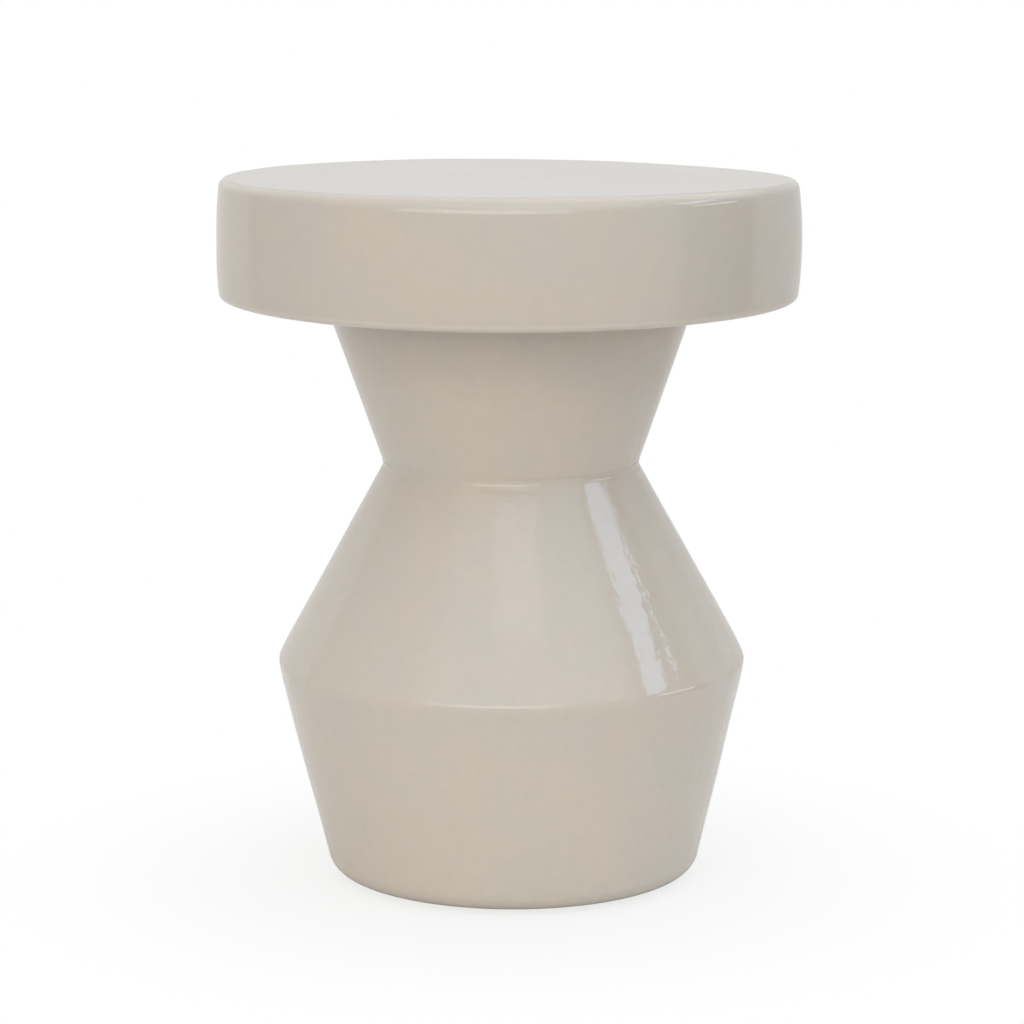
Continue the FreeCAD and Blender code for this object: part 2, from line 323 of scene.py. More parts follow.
def turn_piece(name, rows, closed, shape, sides=SIDES):
    """Turns a section about the stool's axis into a mesh piece.

    shape takes the turned points in millimetres, their outward directions and which are glazed, and returns
    the points where the kiln left them.
    """
    angles = np.arange(sides) * 2 * math.pi / sides
    ring = np.column_stack([np.sin(angles), -np.cos(angles)])
    points, outward, starts, edge_bends, glazed = [], [], [], [], []
    normals = row_normals(rows, closed)
    for (radius, height, finish), (out, up), depth in zip(rows, normals, edge_bend(rows, closed)):
        spots = ring if radius > ON_AXIS else np.zeros((1, 2))
        starts.append(len(points))
        points.extend((radius * x, radius * y, height) for x, y in spots)
        outward.extend((out * x, out * y, up) for x, y in spots)
        edge_bends.extend([depth] * len(spots))
        glazed.extend([finish == GLAZED] * len(spots))

    def corner(row, side):
        return starts[row] + (side if rows[row][0] > ON_AXIS else 0)

    faces, finishes = [], []
    count = len(rows)
    for row in range(count if closed else count - 1):
        after = (row + 1) % count
        for side in range(sides):
            right = (side + 1) % sides
            corners = (corner(row, side), corner(row, right), corner(after, right), corner(after, side))
            faces.append(tuple(dict.fromkeys(corners)))
            finishes.append(rows[row][2])
    points = shape(np.array(points), np.array(outward), np.array(glazed))
    mesh = bpy.data.meshes.new(name)
    mesh.from_pydata((points * MM).tolist(), [], faces)
    mesh.polygons.foreach_set("material_index", finishes)
    mesh.polygons.foreach_set("use_smooth", [True] * len(faces))
    # Each point's bend goes on the mesh, and the glaze uses it to paint a highlight along convex edges.
    coat = mesh.attributes.new("edge_bend", "FLOAT", "POINT")
    coat.data.foreach_set("value", np.array(edge_bends, np.float32))
    mesh.set_sharp_from_angle(angle=CREASE)
    mesh.update()
    piece = bpy.data.objects.new(name, mesh)
    bpy.context.scene.collection.objects.link(piece)
    return piece


def azimuth_of(points):
    """Each point's azimuth in degrees."""
    return np.degrees(np.arctan2(points[:, 0], -points[:, 1]))


def rightward(points):
    """How far each point's direction from the axis turns to the camera's right: from -1 to 1."""
    return np.sin(np.radians(azimuth_of(points)))


def from_axis(points):
    """Each point's distance from the axis."""
    return np.hypot(points[:, 0], points[:, 1])


def ease(value, low, high):
    """Rises smoothly from 0 at low to 1 at high."""
    share = np.clip((value - low) / (high - low), 0.0, 1.0)
    return share * share * (3 - 2 * share)


def hill(value, middle, spread):
    """1 at the middle, falling smoothly on both sides to about a third at the spread."""
    return np.exp(-(((value - middle) / spread) ** 2))


def out_of_true(points):
    """The castings were stuck together by eye.

    The axis leans a hair to the left, the skirt stands to the left, and both creases dip in front.
    """
    height = points[:, 2]
    front = np.maximum(0.0, np.cos(np.radians(azimuth_of(points))))
    moved = points.copy()
    moved[:, 0] -= LEAN * (height - WAIST_Z)
    moved[:, 0] -= SKIRT_LEFT * hill(height, *SKIRT_LEFT_AT)
    moved[:, 2] -= WAIST_DIP * front * hill(height, *WAIST_DIP_AT)
    moved[:, 2] -= BELLY_DIP * front * hill(height, *BELLY_DIP_AT)
    return moved


def fired_wall(points, outward, glazed):
    """A pedestal's wall as the kiln left it.

    The glazed outside has slight waves, a swollen skirt and a belly worn at its sides. Hidden and standing
    faces stay true.
    """
    height = points[:, 2]
    shown = glazed * ease(height, FOOT_Z + WAVES_START, FOOT_Z + WAVES_FULL)
    swell = SKIRT_SWELL * hill(height, *SKIRT_SWELL_AT)
    swell -= BELLY_WORN * rightward(points) ** 2 * hill(height, *BELLY_WORN_AT)
    return out_of_true(points + outward * ((kiln_waves(points) + swell) * shown)[:, None])


def slumped(points):
    """The drum seat slumped a little in the kiln: its top is lower behind on the right."""
    turn = (azimuth_of(points) - SLUMP_AZIMUTH + 180.0) % 360.0 - 180.0
    sag = hill(turn, 0.0, SLUMP_SPREAD) * (from_axis(points) / RIM_R) ** 2
    moved = points.copy()
    moved[:, 2] -= SLUMP * sag * ease(points[:, 2], SEAT_Z + SLUMP_START, TOP_Z)
    return moved


def fired_seat(points, outward, glazed):
    """The drum seat as the kiln left it: its edges, its bowed rim, its slump and its waves."""
    radius, height = from_axis(points), points[:, 2]
    side = rightward(points) ** 2
    left = np.minimum(0.0, rightward(points)) ** 2
    moved = points.copy()

    on_edge = (radius > RIM_R - SEAT_TOP_ROUND - TOUCH) & (height > TOP_Z - SEAT_TOP_ROUND - TOUCH)
    tight = 1 - SIDE_TIGHTER * side * on_edge
    reach = np.where(on_edge, RIM_R - (RIM_R - radius) * tight, radius)
    moved[:, 2] = np.where(on_edge, TOP_Z - (TOP_Z - height) * tight, height)

    half = (TOP_Z - SEAT_Z) / 2
    level = np.clip((moved[:, 2] - SEAT_Z - half) / half, -1.0, 1.0)
    fade_from, fade_to = LOW_LEFT_FADES
    low_left = LOW_LEFT * left * (1 - ease(height, SEAT_Z + fade_from, SEAT_Z + fade_to))
    bow = (RIM_BOW * (1 - level ** 2) + low_left) * ease(reach, RIM_R - BOW_STARTS, RIM_R - BOW_FULL)
    moved[:, :2] *= ((reach + bow) / np.maximum(radius, ON_AXIS))[:, None]

    low = 1 - ease(height, SEAT_Z + SEAT_WALL, SEAT_Z + UNDER_FADES)
    lift = UNDER_HIGH_SIDES * side + UNDER_HIGH_LEFT * left - UNDER_LOW_FRONT
    moved[:, 2] += lift * low * ease(radius, NECK_R + PAST_NECK, RIM_R)
    return out_of_true(slumped(moved + outward * (kiln_waves(moved) * glazed)[:, None]))


def wiped_foot(points, outward, glazed):
    """The lower casting's wall, and the wandering line where the glaze was wiped off its foot."""
    moved = fired_wall(points, outward, glazed)
    radius = from_axis(points)
    near = hill(radius, GLAZE_LINE_R, GLAZE_LINE_WIDTH) * (points[:, 2] < FOOT_Z + UNDERFOOT)
    angle = np.radians(azimuth_of(points))
    round_trip = np.column_stack([np.cos(angle), np.sin(angle), np.zeros(len(angle))]) * WANDER_CIRCLE
    wander = WANDER * wave(round_trip, WANDER_SPACING, 5.3)
    moved[:, :2] *= (1 + near * wander / np.maximum(radius, 1.0))[:, None]
    return moved


# Pieces

shoulder_slope = (BELLY[0] - WAIST_R) / (WAIST_Z - SLIP / 2 - BELLY[1])
neck_slope = (NECK_R - WAIST_R) / (SEAT_Z - SLIP - WAIST_Z - SLIP / 2)
under_waist = (WAIST_R, WAIST_Z - SLIP / 2)
over_waist = (WAIST_R, WAIST_Z + SLIP / 2)
landing_edge = (NECK_R, SEAT_Z - SLIP)
foot_edge = (FOOT_R, FOOT_Z)
recess_z = FOOT_Z + RECESS
floor_z = recess_z + BASE
shoulder_wall = WALL * math.hypot(1, shoulder_slope)
neck_wall = WALL * math.hypot(1, neck_slope)


def level_line(height):
    """Two points of the level line at this height."""
    return (0, height), (10, height)


def lower_casting():
    """The lower pedestal: foot, belly and shoulder outside, parallel walls inside, and a pierced base."""
    shoulder_inside = wall_inside(BELLY, under_waist, WALL)
    skirt_inside = wall_inside(foot_edge, BELLY, WALL)
    belly_inside = crossing(*shoulder_inside, *skirt_inside)
    bend = crossing(*skirt_inside, *level_line(floor_z))
    roll = [(GLAZE_LINE_R + step, FOOT_Z - GLAZE_ROLL * share, 0, GLAZED) for step, share in ROLL_STEPS]
    corners = roll + [
        (*foot_edge, FOOT_ROUND, GLAZED),
        (*BELLY, BELLY_ROUND, GLAZED),
        (*under_waist, 0, BARE),
        (WAIST_R - shoulder_wall, under_waist[1], 0, BARE),
        (*belly_inside, INNER_ROUND, BARE),
        (*bend, INNER_ROUND, BARE),
        (POUR_R, floor_z, LIP_ROUND, BARE),
        (POUR_R, recess_z, LIP_ROUND, BARE),
        (RING_R, recess_z, RING_ROUND, BARE),
        (RING_R, FOOT_Z, RING_ROUND, BARE),
    ]
    return turn_piece("lower_casting", section(corners), True, wiped_foot)


def upper_casting():
    """The upper pedestal: a cone that opens from the waist to the landing under the seat."""
    inside = wall_inside(over_waist, landing_edge, WALL)
    under_z = landing_edge[1] - LANDING
    bend = crossing(*inside, *level_line(under_z))
    corners = [
        (*over_waist, 0, GLAZED),
        (*landing_edge, 0, BARE),
        (MOUTH_R, landing_edge[1], 0, BARE),
        (MOUTH_R, under_z, LIP_ROUND, BARE),
        (*bend, INNER_ROUND, BARE),
        (WAIST_R - neck_wall, over_waist[1], 0, BARE),
    ]
    return turn_piece("upper_casting", section(corners), True, fired_wall)


def drum_seat():
    """The seat: a hollow drum with a flat top and a bowed rim, open underneath over the pedestal."""
    inner_r = RIM_R - SEAT_WALL
    corners = [
        (0.0, TOP_Z - SEAT_WALL, 0, BARE),
        (inner_r, TOP_Z - SEAT_WALL, INNER_ROUND, BARE),
        (inner_r, SEAT_Z + SEAT_WALL, INNER_ROUND, BARE),
        (MOUTH_R, SEAT_Z + SEAT_WALL, LIP_ROUND, BARE),
        (MOUTH_R, SEAT_Z, 0, GLAZED),
        (RIM_R, SEAT_Z, SEAT_UNDER_ROUND, GLAZED),
        (RIM_R, TOP_Z, SEAT_TOP_ROUND, GLAZED),
        (0.0, TOP_Z, 0, GLAZED),
    ]
    return turn_piece("drum_seat", section(corners, closed=False), False, fired_seat)


def waist_ring():
    """The slip between the two pedestal castings: sponged to a cove outside, left as a bead inside."""
    crease = crossing(BELLY, under_waist, over_waist, landing_edge)
    reach = WAIST_COVE * WAIST_COVE_REACH
    reach_in = (BEAD_HEIGHT - SLIP) / 2
    inner_under = (WAIST_R - shoulder_wall, under_waist[1])
    inner_over = (WAIST_R - neck_wall, over_waist[1])
    bead_top = (inner_over[0] + reach_in * neck_slope, inner_over[1] + reach_in)
    bead_bottom = (inner_under[0] + reach_in * shoulder_slope, inner_under[1] - reach_in)
    tip_under = along(crease, BELLY, reach)
    tip_over = along(crease, landing_edge, reach)
    outside = section([
        (*tip_under, 0, GLAZED),
        (*crease, WAIST_COVE, GLAZED),
        (*tip_over, 0, BARE),
        (tip_over[0] - KEYED, tip_over[1], 0, BARE),
        (over_waist[0] - KEYED, over_waist[1], 0, BARE),
        (*inner_over, 0, BARE),
        (*bead_top, 0, BARE),
    ], closed=False)
    inside = section([
        (*bead_bottom, 0, BARE),
        (*inner_under, 0, BARE),
        (under_waist[0] - KEYED, under_waist[1], 0, BARE),
        (tip_under[0] - KEYED, tip_under[1], 0, BARE),
    ], closed=False)
    rows = outside + bead_rows(bead_top, bead_bottom, BEAD_STAND) + inside
    return turn_piece("waist_slip_ring", rows, True, fired_wall)


def seat_ring():
    """The slip between the pedestal and the seat, with a smaller cove and the same bead."""
    crease = (NECK_R + SLIP * neck_slope, SEAT_Z)
    reach = SEAT_COVE * SEAT_COVE_REACH
    half = BEAD_HEIGHT / 2
    middle = SEAT_Z - SLIP / 2
    tip_under = along(crease, over_waist, reach)
    tip_over = along(crease, (RIM_R, SEAT_Z), reach)
    outside = section([
        (*tip_under, 0, GLAZED),
        (*crease, SEAT_COVE, GLAZED),
        (*tip_over, 0, BARE),
        (tip_over[0], tip_over[1] + KEYED, 0, BARE),
        (MOUTH_R + KEYED, SEAT_Z + KEYED, 0, BARE),
        (MOUTH_R, middle + half, 0, BARE),
    ], closed=False)
    inside = section([
        (MOUTH_R, middle - half, 0, BARE),
        (MOUTH_R + KEYED, SEAT_Z - SLIP - KEYED, 0, BARE),
        (tip_under[0] - KEYED, tip_under[1], 0, BARE),
    ], closed=False)
    rows = outside + bead_rows((MOUTH_R, middle + half), (MOUTH_R, middle - half), BEAD_STAND) + inside
    return turn_piece("seat_slip_ring", rows, True, fired_wall)


def felt_pad(node):
    """A felt disc stuck under the foot ring: its punched edge swells and frays, its sole is pressed flat."""
    low, high = (np.array(corner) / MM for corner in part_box(node))
    middle = (low + high) / 2
    radius = (high[0] - low[0]) / 2
    corners = [
        (0.0, low[2], 0, GLAZED),
        (radius - SOLE_INSET, low[2], SOLE_ROUND, GLAZED),
        (radius, middle[2], SIDE_ROUND, GLAZED),
        (radius - TOP_INSET, high[2], TOP_ROUND, GLAZED),
        (0.0, high[2], 0, GLAZED),
    ]

    def pressed(points, outward, glazed):
        placed = points + np.array([middle[0], middle[1], 0.0])
        edge = ease(from_axis(points), radius - FRAY_STARTS, radius - FRAY_FULL)
        tuft_depth, tuft_spacing = FELT_TUFT
        fibre_depth, fibre_spacing = FELT_FIBRE
        tufts = tuft_depth * (wave(placed, tuft_spacing, 2.9) - TUFT_WORN)
        fray = tufts + fibre_depth * wave(placed, fibre_spacing, 8.1)
        placed[:, :2] += outward[:, :2] * (fray * edge)[:, None]
        return placed

    rows = section(corners, closed=False, spacing=FELT_SPACING)
    return turn_piece("felt_" + node, rows, False, pressed, sides=FELT_SIDES)


# Finishes

# Numbers of sockets that share a name: a colour Mix node's share, two colours and result, and the four
# limits of a Map Range node that works on colours.
SHARE, UNDER, OVER, MIXED = 0, 6, 7, 2
FROM_LOW, FROM_HIGH, TO_LOW, TO_HIGH = 7, 8, 9, 10


def linear(hex_colour):
    """An sRGB hex colour as Blender's linear colour."""
    channels = [int(hex_colour[place:place + 2], 16) / 255 for place in (1, 3, 5)]
    return (*(level / 12.92 if level <= 0.04045 else ((level + 0.055) / 1.055) ** 2.4
              for level in channels), 1.0)


def add_node(tree, kind, settings, sockets):
    """Adds a node, sets its own settings, and gives each named socket a value or another socket's link."""
    node = tree.nodes.new("ShaderNode" + kind)
    for name, value in settings.items():
        setattr(node, name, value)
    for name, value in sockets.items():
        if isinstance(value, bpy.types.NodeSocket):
            tree.links.new(value, node.inputs[name])
        else:
            node.inputs[name].default_value = value
    return node


def new_material(name):
    """An empty node material and its tree."""
    material = bpy.data.materials.new(name)
    material.use_nodes = True
    tree = material.node_tree
    tree.nodes.clear()
    return material, tree


def glazed_stoneware():
    """Stoneware under a glossy opaque glaze, dipped and fired to about 1250 degrees.

    The eye gets a warm greige coat under a clear skin: soft mottling, a painted highlight as a paler line
    along the sharply rounded edges, a few iron specks, and a skin that ran down the pedestal in ripples,
    which fray the edge of a reflection, and settled nearly level on the seat.
    """
    mottle_size = 38 * MM
    drift_size = 7 * MM
    speck_spacing = 15 * MM
    speck_size = 0.35 * MM
    speck_core = 0.20 * MM
    ripple_size = 6 * MM
    ripple_height = 0.17 * MM
    peel_size = 2.2 * MM
    peel_height = 0.004 * MM
    pedestal_top = 0.366
    seat_bottom = 0.374

    material, tree = new_material("glazed_stoneware")
    place = add_node(tree, "TexCoord", {}, {}).outputs["Object"]
    mottle = add_node(tree, "TexNoise", {}, {"Vector": place, "Scale": 1 / mottle_size, "Detail": 2.0})
    drift = add_node(tree, "TexNoise", {}, {"Vector": place, "Scale": 1 / drift_size, "Detail": 3.0})
    greige = add_node(tree, "MapRange", {"data_type": "FLOAT_VECTOR"}, {
        "Vector": mottle.outputs["Fac"], FROM_LOW: (0.36,) * 3, FROM_HIGH: (0.64,) * 3,
        TO_LOW: linear("#C9BEAF")[:3], TO_HIGH: linear("#C6BDB0")[:3]})
    shade = add_node(tree, "MapRange", {}, {
        "Value": drift.outputs["Fac"], "From Min": 0.3, "From Max": 0.7, "To Min": 0.985, "To Max": 1.015})
    coat = add_node(tree, "Mix", {"data_type": "RGBA", "blend_type": "MULTIPLY"}, {
        SHARE: 1.0, UNDER: greige.outputs["Vector"], OVER: shade.outputs[0]})
    depth = add_node(tree, "Attribute", {"attribute_name": "edge_bend"}, {})
    # Painted highlight: where an edge bends sharply outward, the colour is lifted towards a paler greige that
    # stands for the light a rounded edge catches.
    edge_highlight_share = add_node(tree, "MapRange", {}, {
        "Value": depth.outputs["Fac"], "From Min": 0.58, "From Max": 0.70, "To Min": 0.0, "To Max": 0.25})
    edge_highlighted = add_node(tree, "Mix", {"data_type": "RGBA"}, {
        SHARE: edge_highlight_share.outputs[0], UNDER: coat.outputs[MIXED], OVER: linear("#DDD4C8")})
    speck_cells = add_node(tree, "TexVoronoi", {}, {"Vector": place, "Scale": 1 / speck_spacing})
    speck = add_node(tree, "MapRange", {}, {
        "Value": speck_cells.outputs["Distance"],
        "From Min": speck_size / speck_spacing, "From Max": speck_core / speck_spacing})
    specked = add_node(tree, "Mix", {"data_type": "RGBA"}, {
        SHARE: speck.outputs[0], UNDER: edge_highlighted.outputs[MIXED], OVER: linear("#7D6B57")})

    ripple = add_node(tree, "TexNoise", {}, {"Vector": place, "Scale": 1 / ripple_size, "Detail": 1.0})
    peel = add_node(tree, "TexNoise", {}, {"Vector": place, "Scale": 1 / peel_size, "Detail": 1.0})
    axes = add_node(tree, "SeparateXYZ", {}, {"Vector": place})
    ran = add_node(tree, "MapRange", {}, {
        "Value": axes.outputs["Z"], "From Min": pedestal_top, "From Max": seat_bottom,
        "To Min": 1.0, "To Max": 0.08})
    rippled = add_node(tree, "Math", {"operation": "MULTIPLY"}, {
        0: ripple.outputs["Fac"], 1: ran.outputs[0]})
    waves = add_node(tree, "Bump", {}, {
        "Strength": 1.0, "Distance": ripple_height, "Height": rippled.outputs[0]})
    skin = add_node(tree, "Bump", {}, {
        "Strength": 1.0, "Distance": peel_height, "Height": peel.outputs["Fac"], "Normal": waves.outputs[0]})
    shader = add_node(tree, "BsdfPrincipled", {}, {
        "Base Color": specked.outputs[MIXED], "Roughness": 0.06, "IOR": 1.5, "Normal": skin.outputs[0]})
    add_node(tree, "OutputMaterial", {}, {"Surface": shader.outputs[0]})
    return material


def bare_stoneware():
    """Unglazed stoneware body, slip-cast and wiped with a sponge before the firing.

    The eye gets a dry, sandy buff with fine grog and a few iron grains, and no shine.
    """
    cloud_size = 14 * MM
    grog_spacing = 1.6 * MM
    sponge_size = 0.9 * MM
    sponge_height = 0.12 * MM

    material, tree = new_material("bare_stoneware")
    place = add_node(tree, "TexCoord", {}, {}).outputs["Object"]
    cloud = add_node(tree, "TexNoise", {}, {"Vector": place, "Scale": 1 / cloud_size, "Detail": 4.0})
    buff = add_node(tree, "MapRange", {"data_type": "FLOAT_VECTOR"}, {
        "Vector": cloud.outputs["Fac"], FROM_LOW: (0.3,) * 3, FROM_HIGH: (0.7,) * 3,
        TO_LOW: linear("#B8A88E")[:3], TO_HIGH: linear("#C9BBA3")[:3]})
    grog = add_node(tree, "TexVoronoi", {}, {"Vector": place, "Scale": 1 / grog_spacing})
    grain = add_node(tree, "MapRange", {}, {
        "Value": grog.outputs["Distance"], "From Min": 0.30, "From Max": 0.16})
    grained = add_node(tree, "Mix", {"data_type": "RGBA"}, {
        SHARE: grain.outputs[0], UNDER: buff.outputs["Vector"], OVER: linear("#A08D70")})
    sponged = add_node(tree, "TexNoise", {}, {"Vector": place, "Scale": 1 / sponge_size, "Detail": 3.0})
    bump = add_node(tree, "Bump", {}, {
        "Strength": 1.0, "Distance": sponge_height, "Height": sponged.outputs["Fac"]})
    shader = add_node(tree, "BsdfPrincipled", {}, {
        "Base Color": grained.outputs[MIXED], "Roughness": 0.88, "IOR": 1.5, "Normal": bump.outputs[0]})
    add_node(tree, "OutputMaterial", {}, {"Surface": shader.outputs[0]})
    return material


def wool_felt():
    """Wool felt, pressed and die-cut, about 2.5 mm thick.

    The eye gets a matt grey-brown mat of short crossing fibres, with a soft sheen at a glancing angle. Real
    fibres are too fine to show, so they are drawn 0.8 mm apart.
    """
    fibre_spacing = 0.8 * MM
    mat_height = 0.2 * MM

    material, tree = new_material("wool_felt")
    place = add_node(tree, "TexCoord", {}, {}).outputs["Object"]
    fibres = add_node(tree, "TexNoise", {}, {
        "Vector": place, "Scale": 1 / fibre_spacing, "Detail": 4.0, "Distortion": 2.5})
    tone = add_node(tree, "MapRange", {"data_type": "FLOAT_VECTOR"}, {
        "Vector": fibres.outputs["Fac"], FROM_LOW: (0.35,) * 3, FROM_HIGH: (0.65,) * 3,
        TO_LOW: linear("#858079")[:3], TO_HIGH: linear("#A39D95")[:3]})
    mat = add_node(tree, "Bump", {}, {
        "Strength": 1.0, "Distance": mat_height, "Height": fibres.outputs["Fac"]})
    shader = add_node(tree, "BsdfPrincipled", {}, {
        "Base Color": tone.outputs["Vector"], "Roughness": 0.95, "IOR": 1.45, "Sheen Weight": 0.35,
        "Sheen Roughness": 0.5, "Normal": mat.outputs[0]})
    add_node(tree, "OutputMaterial", {}, {"Surface": shader.outputs[0]})
    return material


glaze = glazed_stoneware()
bare = bare_stoneware()
felt = wool_felt()

CASTINGS_AND_SLIP = {
    "lower_pedestal": lower_casting,
    "upper_pedestal": upper_casting,
    "seat_drum": drum_seat,
    "waist_slip_joint": waist_ring,
    "seat_slip_joint": seat_ring,
}
for node, build in CASTINGS_AND_SLIP.items():
    piece = build()
    piece.data.materials.append(glaze)
    piece.data.materials.append(bare)
    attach(piece, "root")
    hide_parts(node)

for number in (1, 2, 3, 4):
    pad = felt_pad(f"foot_pad_{number}")
    pad.data.materials.append(felt)
    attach(pad, "root")
    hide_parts(f"foot_pad_{number}")


# Studio

# The room round the stool, as the glaze shows it. Each part of it begins at an azimuth, with half the width
# of its soft edge, and has a colour below the first of the heights, between each two, and overhead. A height
# is an elevation with half the width of its soft edge. Angles are in degrees, and a level of 1 shows white.
ROOM_HEIGHTS = ((-7.0, 2.0), (4.2, 0.8), (9.0, 1.5), (32.0, 5.0), (60.0, 7.0))
BACK_WALL = ((0.74, 0.73, 0.72), (0.74, 0.74, 0.73), (0.80, 0.80, 0.80),
             (0.70, 0.69, 0.68), (1.22, 1.22, 1.28), (1.36, 1.36, 1.36))
BACK_LEFT = ((0.80, 0.79, 0.78), (0.84, 0.84, 0.83), (0.86, 0.86, 0.86),
             (0.88, 0.91, 0.95), (0.90, 0.92, 0.95), (0.96, 0.96, 0.96))
LEFT_WALL = ((0.58, 0.58, 0.58), (0.58, 0.58, 0.58), (0.56, 0.56, 0.57),
             (0.60, 0.62, 0.65), (0.66, 0.68, 0.72), (0.64, 0.64, 0.64))
FRONT_WALL = ((0.56, 0.56, 0.56), (0.56, 0.56, 0.56), (0.54, 0.55, 0.57),
              (0.54, 0.54, 0.54), (0.96, 1.08, 1.24), (0.96, 0.94, 0.94))
DARK_RIGHT = ((0.10, 0.09, 0.09), (0.10, 0.09, 0.09), (0.10, 0.09, 0.09),
              (0.10, 0.10, 0.10), (0.50, 0.58, 0.64), (0.80, 0.80, 0.78))
ROOM = (
    (-180.0, 1.0, BACK_WALL),
    (-165.0, 12.0, BACK_LEFT),
    (-121.5, 1.0, LEFT_WALL),
    (-52.0, 10.0, FRONT_WALL),
    (69.0, 1.0, DARK_RIGHT),
    (110.0, 6.0, BACK_WALL),
)

# Bright things in the room: the left edge's azimuth at its foot and top, the right edge's at its foot and
# top, the elevations of foot and top, half the width of the soft edges, and the colour. They are a wide soft
# box low in front with a tube along its foot and one near its top, and on the right a window onto the sky, a
# narrow pane beside it and a low strip under both.
SOFT_BOX = (-45.0, -45.0, 26.0, 26.0, 9.5, 32.0, 1.5, (2.30, 2.26, 2.12))
LOW_TUBE = (-28.0, -28.0, 10.0, 10.0, 10.0, 13.5, 0.6, (4.90, 4.80, 4.60))
HIGH_TUBE = (-28.0, -28.0, 10.0, 10.0, 24.0, 28.0, 0.6, (6.00, 5.90, 5.60))
WINDOW = (76.2, 76.2, 86.1, 106.4, 26.0, 40.5, 0.3, (2.25, 2.82, 3.80))
PANE = (96.1, 96.1, 97.6, 97.6, 24.0, 33.0, 0.2, (2.50, 3.10, 3.90))
STRIP = (76.2, 76.2, 101.0, 101.0, 9.0, 15.0, 0.4, (3.30, 3.90, 4.60))
BRIGHT_BOXES = (SOFT_BOX, LOW_TUBE, HIGH_TUBE, WINDOW, PANE, STRIP)
BRIGHTEST = 4.0

# The soft box overhead: where it hangs as seen from the aim point on the axis, its size in metres, and its
# radiance, at which 1 shows as white in a mirror.
OVERHEAD_AZIMUTH = 5.0
OVERHEAD_ELEVATION = 48.0
OVERHEAD_DISTANCE = 1.6
OVERHEAD_AIM = (0, 0, 0.26)
OVERHEAD_WIDTH = 0.7
OVERHEAD_DEPTH = 0.5
OVERHEAD_RADIANCE = 0.65

# The floor in metres, and how much of it gives way to plain white for the camera, near the stool and far.
FLOOR_R = 0.8
FLOOR_SIDES = 96
FADE_STARTS = 0.12
FADE_ENDS = 0.36
WHITE_NEAR = 0.78
WHITE_FAR = 1.0

# The camera: its place in millimetres, how far it looks down in radians, and its lens on a 36 mm sensor.
CAMERA_PLACE = (0.655, -2265.2, 614.9)
CAMERA_DOWN = 0.1656
CAMERA_LENS = 125.30
CAMERA_SENSOR = 36.0


def room_level(colour):
    """A colour of the room as a share of the brightest level."""
    return (*(level / BRIGHTEST for level in colour), 1.0)


def world_light():
    """The room's soft light, in bands of azimuth and elevation, with plain white for the camera itself."""
    world = bpy.data.worlds.new("studio")
    bpy.context.scene.world = world
    world.use_nodes = True
    tree = world.node_tree
    tree.nodes.clear()
    direction = add_node(tree, "TexCoord", {}, {}).outputs["Generated"]
    axes = add_node(tree, "SeparateXYZ", {}, {"Vector": direction})
    front = add_node(tree, "Math", {"operation": "MULTIPLY"}, {0: axes.outputs["Y"], 1: -1.0})
    azimuth = add_node(tree, "Math", {"operation": "ARCTAN2"}, {0: axes.outputs["X"], 1: front.outputs[0]})
    elevation = add_node(tree, "Math", {"operation": "ARCSINE"}, {0: axes.outputs["Z"]})
    climb = add_node(tree, "MapRange", {}, {
        "Value": elevation.outputs[0], "From Min": -math.pi / 2, "From Max": math.pi / 2})

    def past(angle, edge, soft):
        """0 short of an edge and 1 past it, with a soft step between."""
        return add_node(tree, "MapRange", {"interpolation_type": "SMOOTHSTEP"}, {
            "Value": angle, "From Min": math.radians(edge - soft), "From Max": math.radians(edge + soft),
            "To Min": 0.0, "To Max": 1.0}).outputs[0]

    def wall_colours(colours):
        """One part of the room, from the floor to overhead."""
        ramp = add_node(tree, "ValToRGB", {}, {"Fac": climb.outputs[0]})
        stops = ramp.color_ramp.elements
        stops.remove(stops[1])
        stops[0].position = 0.0
        stops[0].color = room_level(colours[0])
        for (edge, soft), lower, upper in zip(ROOM_HEIGHTS, colours, colours[1:]):
            for height, colour in ((edge - soft, lower), (edge + soft, upper)):
                stops.new((height + 90.0) / 180.0).color = room_level(colour)
        return ramp.outputs["Color"]

    def box_share(left, left_top, right, right_top, low, high, soft):
        """1 inside a bright thing with slanting sides, and 0 outside it."""
        sides = []
        for foot, top in ((left, left_top), (right, right_top)):
            slant = (top - foot) / (high - low)
            upright = add_node(tree, "Math", {"operation": "MULTIPLY_ADD"}, {
                0: elevation.outputs[0], 1: -slant, 2: azimuth.outputs[0]})
            sides.append(past(upright.outputs[0], foot - slant * low, soft))
        across = add_node(tree, "Math", {"operation": "SUBTRACT"}, {0: sides[0], 1: sides[1]})
        rise = add_node(tree, "Math", {"operation": "SUBTRACT"}, {
            0: past(elevation.outputs[0], low, soft), 1: past(elevation.outputs[0], high, soft)})
        box = add_node(tree, "Math", {"operation": "MULTIPLY"}, {0: across.outputs[0], 1: rise.outputs[0]})
        return box.outputs[0]

    room = wall_colours(ROOM[0][2])
    for start, soft, colours in ROOM[1:]:
        room = add_node(tree, "Mix", {"data_type": "RGBA"}, {
            SHARE: past(azimuth.outputs[0], start, soft), UNDER: room,
            OVER: wall_colours(colours)}).outputs[MIXED]
    for *edges, colour in BRIGHT_BOXES:
        room = add_node(tree, "Mix", {"data_type": "RGBA"}, {
            SHARE: box_share(*edges), UNDER: room, OVER: room_level(colour)}).outputs[MIXED]
    surround = add_node(tree, "Background", {}, {"Color": room, "Strength": BRIGHTEST})
    white = add_node(tree, "Background", {}, {"Color": (1, 1, 1, 1), "Strength": 1.0})
    path = add_node(tree, "LightPath", {}, {})
    shown = add_node(tree, "MixShader", {}, {
        0: path.outputs["Is Camera Ray"], 1: surround.outputs[0], 2: white.outputs[0]})
    add_node(tree, "OutputWorld", {}, {"Surface": shown.outputs[0]})


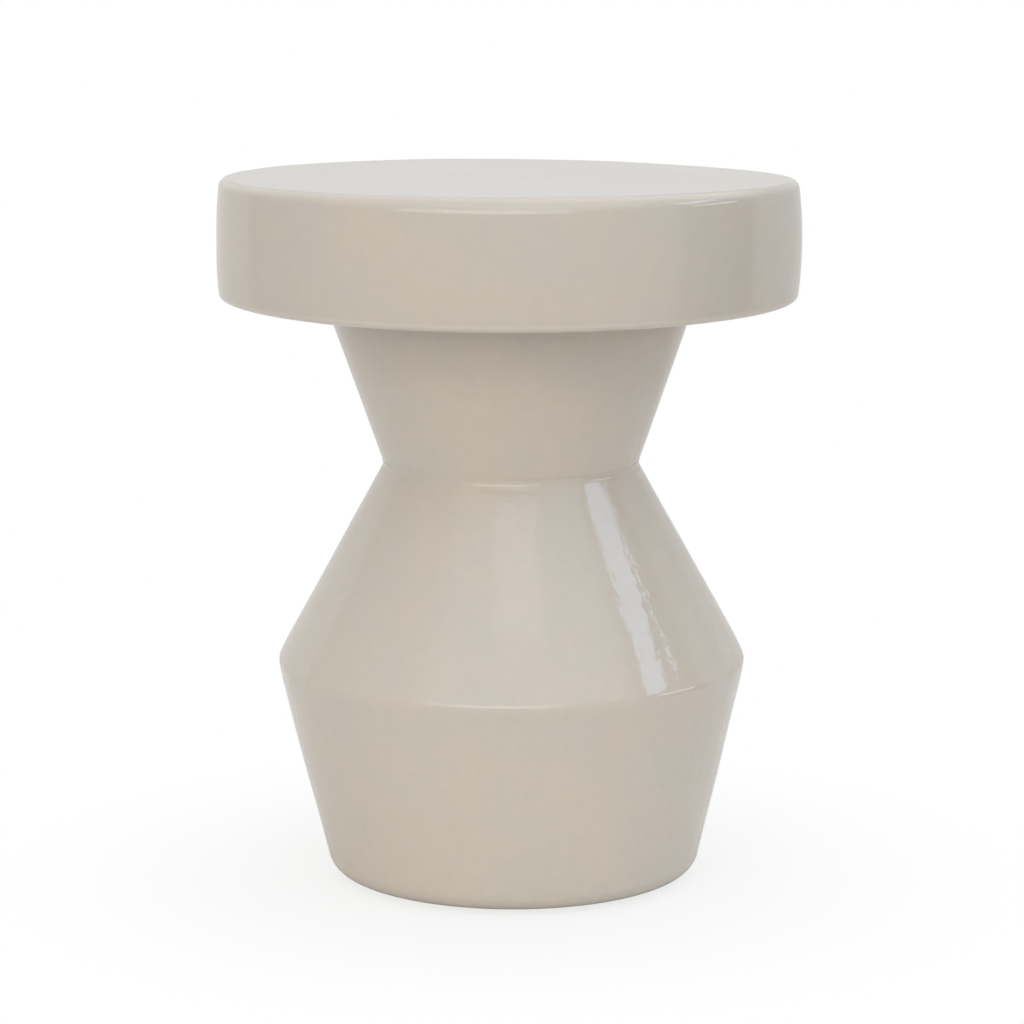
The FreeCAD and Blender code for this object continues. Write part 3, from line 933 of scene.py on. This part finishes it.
def overhead_box():
    """A soft box in front of the stool and above it, which faces it."""
    azimuth = math.radians(OVERHEAD_AZIMUTH)
    elevation = math.radians(OVERHEAD_ELEVATION)
    level = math.cos(elevation)
    away = Vector((math.sin(azimuth) * level, -math.cos(azimuth) * level, math.sin(elevation)))
    light = bpy.data.lights.new("overhead_box", "AREA")
    light.shape = "RECTANGLE"
    light.size = OVERHEAD_WIDTH
    light.size_y = OVERHEAD_DEPTH
    light.energy = OVERHEAD_RADIANCE * OVERHEAD_WIDTH * OVERHEAD_DEPTH * math.pi
    holder = bpy.data.objects.new("overhead_box", light)
    holder.location = Vector(OVERHEAD_AIM) + away * OVERHEAD_DISTANCE
    holder.rotation_mode = "QUATERNION"
    holder.rotation_quaternion = away.to_track_quat("Z", "Y")
    holder.visible_camera = False
    bpy.context.scene.collection.objects.link(holder)


def floor():
    """A plain white floor that keeps the stool's shadow and runs out into the white round it.

    It is clear from below, so that it never hides the foot.
    """
    mesh = bpy.data.meshes.new("studio_floor")
    turns = [2 * math.pi * side / FLOOR_SIDES for side in range(FLOOR_SIDES)]
    rim = [(FLOOR_R * math.cos(turn), FLOOR_R * math.sin(turn), 0) for turn in turns]
    mesh.from_pydata(rim, [], [tuple(range(FLOOR_SIDES))])
    material, tree = new_material("white_paper")
    place = add_node(tree, "NewGeometry", {}, {})
    distance = add_node(tree, "VectorMath", {"operation": "LENGTH"}, {0: place.outputs["Position"]})
    fade = add_node(tree, "MapRange", {"interpolation_type": "SMOOTHSTEP"}, {
        "Value": distance.outputs["Value"], "From Min": FADE_STARTS, "From Max": FADE_ENDS,
        "To Min": WHITE_NEAR, "To Max": WHITE_FAR})
    path = add_node(tree, "LightPath", {}, {})
    share = add_node(tree, "Math", {"operation": "MULTIPLY"}, {
        0: fade.outputs[0], 1: path.outputs["Is Camera Ray"]})
    paper = add_node(tree, "BsdfDiffuse", {}, {"Color": (0.86, 0.84, 0.81, 1)})
    white = add_node(tree, "Emission", {}, {"Color": (1, 1, 1, 1), "Strength": 1.0})
    seen = add_node(tree, "MixShader", {}, {0: share.outputs[0], 1: paper.outputs[0], 2: white.outputs[0]})
    clear = add_node(tree, "BsdfTransparent", {}, {})
    both = add_node(tree, "MixShader", {}, {
        0: place.outputs["Backfacing"], 1: seen.outputs[0], 2: clear.outputs[0]})
    add_node(tree, "OutputMaterial", {}, {"Surface": both.outputs[0]})
    mesh.materials.append(material)
    sheet = bpy.data.objects.new("studio_floor", mesh)
    bpy.context.scene.collection.objects.link(sheet)


def camera():
    """The photograph's viewpoint: a long lens, a little above the seat and tilted down."""
    data = bpy.data.cameras.new("camera")
    data.sensor_width = CAMERA_SENSOR
    data.lens = CAMERA_LENS
    holder = bpy.data.objects.new("camera", data)
    holder.location = [distance * MM for distance in CAMERA_PLACE]
    holder.rotation_mode = "QUATERNION"
    holder.rotation_quaternion = Matrix.Rotation(math.pi / 2 - CAMERA_DOWN, 4, "X").to_quaternion()
    bpy.context.scene.collection.objects.link(holder)
    bpy.context.scene.camera = holder


world_light()
overhead_box()
floor()
camera()
bpy.context.scene.view_settings.view_transform = "Standard"
